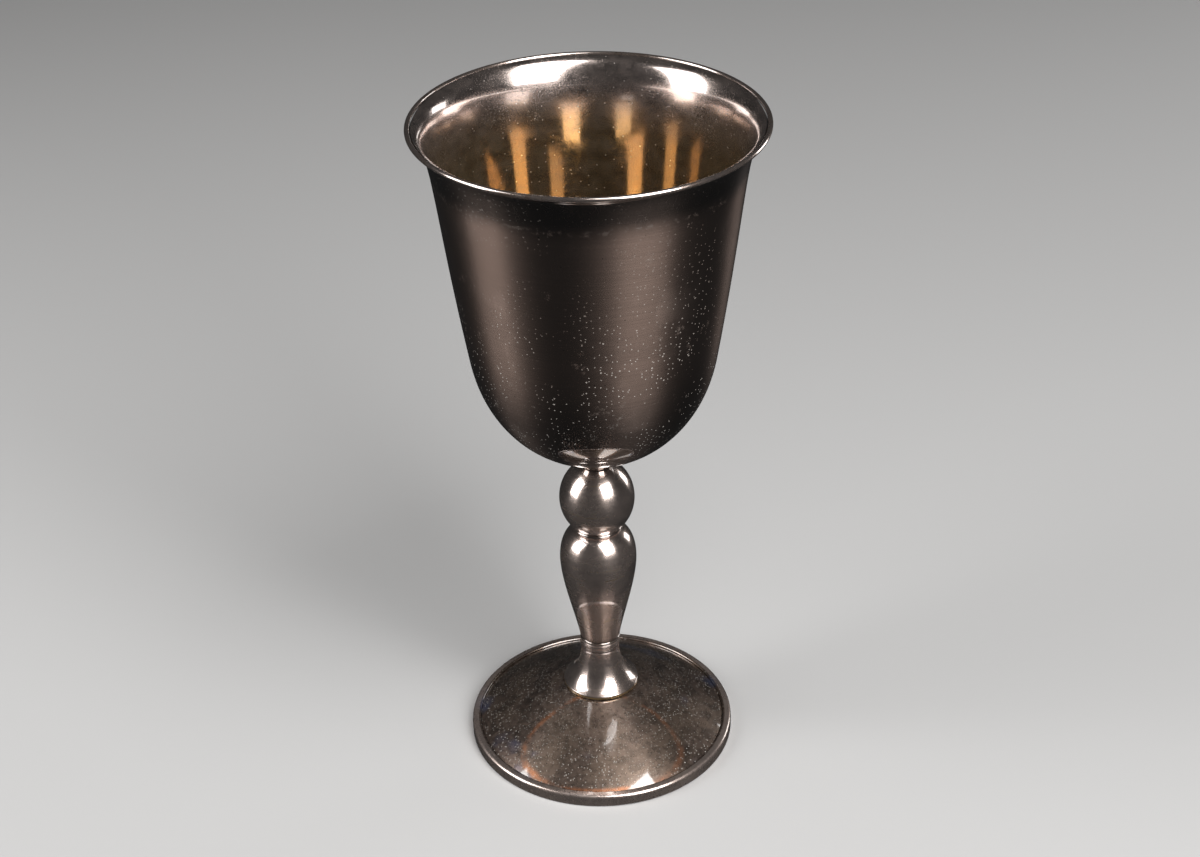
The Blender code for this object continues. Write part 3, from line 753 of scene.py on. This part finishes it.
def threaded_rod_mesh(sizes):
    """Screw thread: R(a, z) = R0 - depth |2 frac(z / pitch - a / 2 pi) - 1|, plain above the threaded end."""
    columns, threaded_top = 48, 14.0 * MM
    low = straight((0.0, ROD_LOW.z), (0.0, threaded_top), 140)[:, 1]
    height = np.concatenate([low, np.linspace(threaded_top + MM, ROD_HIGH.z, 20)])
    angle = np.linspace(0.0, math.tau, columns, endpoint=False)
    phase = np.mod(height[:, None] / sizes.thread_pitch - angle[None, :] / math.tau, 1.0)
    cut = sizes.thread_depth * np.abs(2.0 * phase - 1.0) * (height[:, None] < threaded_top)
    lead = np.clip((height[:, None] - ROD_LOW.z) / (0.5 * MM), 0.0, 1.0)
    radius = (ROD_RADIUS - cut) * (0.82 + 0.18 * lead)
    ends = np.zeros((1, columns))
    radius = np.concatenate([ends, radius, ends])
    height = np.concatenate([height[:1], height, height[-1:]])
    places = swept(radius, height[:, None], angle)
    along = np.arange(len(height)) * 0.5 * MM
    mesh = grid_mesh("threaded_rod", places, np.arange(columns + 1) / columns, along, closed_along=False)
    settle(mesh, 60.0)
    return mesh


def nut_mesh():
    """Hexagon nut: R(a, z) is the lower of the hexagon's radius and a cone that chamfers its corners."""
    low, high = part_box("clamp_nut")
    flat = high.x
    columns, rows = 192, 40
    angle = np.linspace(0.0, math.tau, columns, endpoint=False)
    sector = np.mod(angle, math.tau / 6) - math.tau / 12
    hexagon = flat / np.cos(sector)
    height = np.linspace(low.z, high.z, rows)
    depth = np.minimum(height - low.z, high.z - height)
    cone = flat - 0.15 * MM + depth * 1.9
    side = np.minimum(hexagon[None, :], cone[:, None])
    bore = ROD_RADIUS + 0.12 * MM
    mouth = np.minimum(depth[::-1], 0.4 * MM)
    inside = np.repeat((bore + 0.4 * MM - mouth)[:, None], columns, axis=1)
    radius = np.concatenate([side, inside])
    level = np.concatenate([height, height[::-1]])
    places = swept(radius, level[:, None], angle)
    along = np.arange(2 * rows + 1) * 0.1 * MM
    mesh = grid_mesh("hexagon_nut", places, np.arange(columns + 1) / columns, along)
    settle(mesh, 25.0)
    return mesh


def split_washer_mesh():
    """Split washer: a square section carried round a shallow helix, its two ends closed flat."""
    low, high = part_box("spring_washer")
    slot = math.radians(14.0)
    columns = 96
    share = np.linspace(0.0, 1.0, columns)
    angle = slot / 2 + share * (math.tau - slot)
    lift = (share - 0.5) * 0.24 * MM
    inner, outer = ROD_RADIUS + 0.3 * MM, high.x
    corners = np.array([(inner, low.z), (outer, low.z), (outer, high.z), (inner, high.z)])
    soft = 0.12 * MM
    inwards = soft * np.array([(1, 1), (-1, 1), (-1, -1), (1, -1)])
    section = joined(*[arc(centre, soft, soft, start, start + 90, 3)
                       for centre, start in zip(corners + inwards, (180, 270, 0, 90))])
    places = swept(section[:, :1], section[:, 1:] + lift, angle)
    along = np.arange(len(section) + 1) * 0.4 * MM
    mesh = grid_mesh("split_washer", places, share, along, closed_round=False)
    work = bmesh.new()
    work.from_mesh(mesh)
    bmesh.ops.holes_fill(work, edges=[e for e in work.edges if e.is_boundary])
    work.to_mesh(mesh)
    work.free()
    mesh.shade_smooth()
    mesh.set_sharp_from_angle(angle=math.radians(35.0))
    return mesh


# ---------------------------------------------------------------- operators

class Maker:
    """What the operators share."""
    bl_options = {"REGISTER", "UNDO"}

    def settings(self, context):
        scene = context.scene
        return scene.chalice_sizes, scene.chalice_finishes, scene.chalice_stage


class CHALICE_OT_bowl(Maker, bpy.types.Operator):
    """Make the spun bowl, plated outside and gilt inside, and the wire round its lip"""
    bl_idname = "chalice.bowl"
    bl_label = "Bowl and Lip Wire"

    def execute(self, context):
        sizes, finishes, _ = self.settings(context)
        metals = [outer_silver(finishes), inner_gilding(finishes)]
        mesh = turned("spun_bowl", bowl_surface(sizes), sizes.bowl_segments, OUT_OF_ROUND)
        piece("spun_bowl", mesh, metals, ["bowl"])
        paint_inside(mesh)
        wire = turned("lip_edge_wire", lip_wire_surface(), sizes.bowl_segments, OUT_OF_ROUND)
        plate = stem_silver(finishes, "dulled_silver_lip", 0.85)
        piece("lip_edge_wire", wire, [plate], ["lip_wire"])
        return {"FINISHED"}


class CHALICE_OT_stem(Maker, bpy.types.Operator):
    """Make the turned pieces of the stem, from the bowl's collar down to the trumpet base"""
    bl_idname = "chalice.stem"
    bl_label = "Stem Pieces"

    def execute(self, context):
        sizes, finishes, _ = self.settings(context)
        bore = ROD_RADIUS + 0.3 * MM
        plate = stem_silver(finishes)
        shapes = {
            "coved_collar": (collar_surface(bore), "bowl_collar"),
            "ball_knop": (knop_surface(bore), "knop_ball"),
            "bead_washer": (bead_surface("neck_ring", bore), "neck_ring"),
            "vase_baluster": (baluster_surface(bore), "baluster"),
            "grooved_band": (band_surface(bore), "stem_band"),
            "trumpet_base": (trumpet_surface(bore), "stem_base"),
        }
        for name, (outline, node) in shapes.items():
            piece(name, turned(name, outline, sizes.stem_segments), [plate], [node])
        return {"FINISHED"}


class CHALICE_OT_foot(Maker, bpy.types.Operator):
    """Make the spun foot and the ring it stands on"""
    bl_idname = "chalice.foot"
    bl_label = "Foot and Ring"

    def execute(self, context):
        sizes, finishes, _ = self.settings(context)
        plate = foot_silver(finishes)
        bore = ROD_RADIUS + 0.3 * MM
        foot = turned("spun_foot", foot_surface(sizes, bore), sizes.bowl_segments)
        piece("spun_foot", foot, [plate], ["foot"])
        ring = turned("foot_edge_ring", foot_ring_surface(), sizes.bowl_segments)
        piece("foot_edge_ring", ring, [plate], ["foot_ring"])
        return {"FINISHED"}


class CHALICE_OT_fastenings(Maker, bpy.types.Operator):
    """Make the tie rod, washers and nut, and finish the stud plate"""
    bl_idname = "chalice.fastenings"
    bl_label = "Tie Rod and Fastenings"

    def execute(self, context):
        sizes, finishes, _ = self.settings(context)
        steel = raw_metal("plain_steel", finishes.steel, finishes.tarnish, 0.28, 0.5)
        brass = raw_metal("raw_brass", finishes.brass, finishes.tarnish, 0.3, 0.5)
        piece("threaded_rod", threaded_rod_mesh(sizes), [steel], ["tie_rod"])
        piece("hexagon_nut", nut_mesh(), [steel], ["clamp_nut"])
        piece("split_washer", split_washer_mesh(), [steel], ["spring_washer"])
        low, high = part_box("spreader_washer")
        edge = 0.15 * MM
        rim = [(high.x - edge, low.z), (high.x, low.z + edge),
               (high.x, high.z - edge), (high.x - edge, high.z)]
        washer = turned("plain_washer", bored(np.array(rim), ROD_RADIUS + 0.3 * MM), sizes.stem_segments)
        piece("plain_washer", washer, [steel], ["spreader_washer"])
        finish_node("stud_plate", brass)
        return {"FINISHED"}


class CHALICE_OT_stage(Maker, bpy.types.Operator):
    """Lay the floor and set the lights and the camera"""
    bl_idname = "chalice.stage"
    bl_label = "Stage"

    def execute(self, context):
        _, _, stage = self.settings(context)
        lay_floor(stage)
        for name, (direction, distance, spread, setting) in SOFTBOXES.items():
            softbox(name, direction, distance, spread, getattr(stage, setting))
        even_light(stage.fill)
        set_camera(stage.focal_length)
        return {"FINISHED"}


def paint_inside(mesh):
    """Gives the second finish to every face that looks in towards the axis, and to the bowl's floor."""
    centre = np.empty(len(mesh.polygons) * 3, np.float32)
    mesh.polygons.foreach_get("center", centre)
    normal = np.empty(len(mesh.polygons) * 3, np.float32)
    mesh.polygons.foreach_get("normal", normal)
    centre, normal = centre.reshape(-1, 3), normal.reshape(-1, 3)
    radial = np.hypot(centre[:, 0], centre[:, 1]) + 1e-9
    outward = (centre[:, 0] * normal[:, 0] + centre[:, 1] * normal[:, 1]) / radial
    inside = (outward < -0.02) | (normal[:, 2] > 0.5)
    mesh.polygons.foreach_set("material_index", inside.astype(np.int32))


def finish_node(node, material):
    """Gives a solid that stays as it is its finish."""
    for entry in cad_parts[node].material_slots:
        entry.material = material


def lay_floor(stage):
    """Plain pale floor: one large square, left out of mirror-like reflections."""
    bench = Bench("pale_floor")
    place = bench.place()
    cloud = bench.noise(place, 3.0, detail=3.0)
    shade = bench.mix(bench.times(cloud, 0.06), stage.floor, stage.floor_cloud)
    grain = bench.noise(place, 1800.0, detail=2.0)
    material = bench.finish(shade, 0.85, 0.0, bench.bump(grain, 0.05 * MM, 0.3))
    half = 4.0
    corners = [(-half, -half, 0), (half, -half, 0), (half, half, 0), (-half, half, 0)]
    mesh = bpy.data.meshes.new("floor")
    mesh.from_pydata(corners, [], [(0, 1, 2, 3)])
    mesh.materials.append(material)
    floor = bpy.data.objects.new("floor", mesh)
    floor.visible_glossy = False
    bpy.context.scene.collection.objects.link(floor)


def softbox(name, direction, distance, spread, energy):
    """Rectangular light, seen from the point it faces as wide and as high as spread says, in degrees."""
    light = bpy.data.lights.new(name, "AREA")
    light.shape = "RECTANGLE"
    light.size, light.size_y = (2 * distance * math.tan(math.radians(angle / 2)) for angle in spread)
    light.energy = energy
    lamp = bpy.data.objects.new(name, light)
    lamp.location = LIT_MIDDLE + direction.normalized() * distance
    lamp.rotation_euler = direction.to_track_quat("Z", "Y").to_euler()
    bpy.context.scene.collection.objects.link(lamp)


def even_light(strength):
    """Dim, slightly cool light from all round."""
    world = bpy.data.worlds.new("studio")
    world.use_nodes = True
    background = world.node_tree.nodes["Background"]
    background.inputs["Color"].default_value = (0.96, 0.98, 1.0, 1.0)
    background.inputs["Strength"].default_value = strength
    bpy.context.scene.world = world
    bpy.context.scene.view_settings.view_transform = "Standard"


def set_camera(focal_length):
    """Camera above and in front of the cup, looking down at it with a slight lean."""
    data = bpy.data.cameras.new("camera")
    data.sensor_width = 36.0
    data.sensor_fit = "HORIZONTAL"
    data.lens = focal_length
    camera = bpy.data.objects.new("camera", data)
    turned_round = Matrix.Translation(CAMERA_PLACE) @ Matrix.Rotation(-CAMERA_YAW, 4, "Z")
    tipped = turned_round @ Matrix.Rotation(math.pi / 2 - CAMERA_PITCH, 4, "X")
    camera.matrix_world = tipped @ Matrix.Rotation(CAMERA_LEAN, 4, "Z")
    bpy.context.scene.collection.objects.link(camera)
    bpy.context.scene.camera = camera


# ---------------------------------------------------------------- panel and registering

class CHALICE_PT_maker(bpy.types.Panel):
    """Lists the chalice's settings and the steps that make it"""
    bl_label = "Chalice"
    bl_idname = "CHALICE_PT_maker"
    bl_space_type = "VIEW_3D"
    bl_region_type = "UI"
    bl_category = "Chalice"

    def draw(self, context):
        for name in GROUPS:
            group = getattr(context.scene, name)
            box = self.layout.box()
            for key in group.__annotations__:
                box.prop(group, key)
        for operator in OPERATORS:
            self.layout.operator(operator.bl_idname)


OPERATORS = (CHALICE_OT_bowl, CHALICE_OT_stem, CHALICE_OT_foot, CHALICE_OT_fastenings, CHALICE_OT_stage)
GROUPS = {"chalice_sizes": ChaliceSizes, "chalice_finishes": ChaliceFinishes, "chalice_stage": ChaliceStage}


def register():
    for kind in (*GROUPS.values(), *OPERATORS, CHALICE_PT_maker):
        bpy.utils.register_class(kind)
    for name, group in GROUPS.items():
        setattr(bpy.types.Scene, name, bpy.props.PointerProperty(type=group))


def unregister():
    for name in GROUPS:
        delattr(bpy.types.Scene, name)
    for kind in (CHALICE_PT_maker, *reversed(OPERATORS), *GROUPS.values()):
        bpy.utils.unregister_class(kind)


def main():
    register()
    for operator in (bpy.ops.chalice.bowl, bpy.ops.chalice.stem, bpy.ops.chalice.foot,
                     bpy.ops.chalice.fastenings, bpy.ops.chalice.stage):
        operator()
    bpy.context.view_layer.update()


if __name__ == "__main__":
    main()
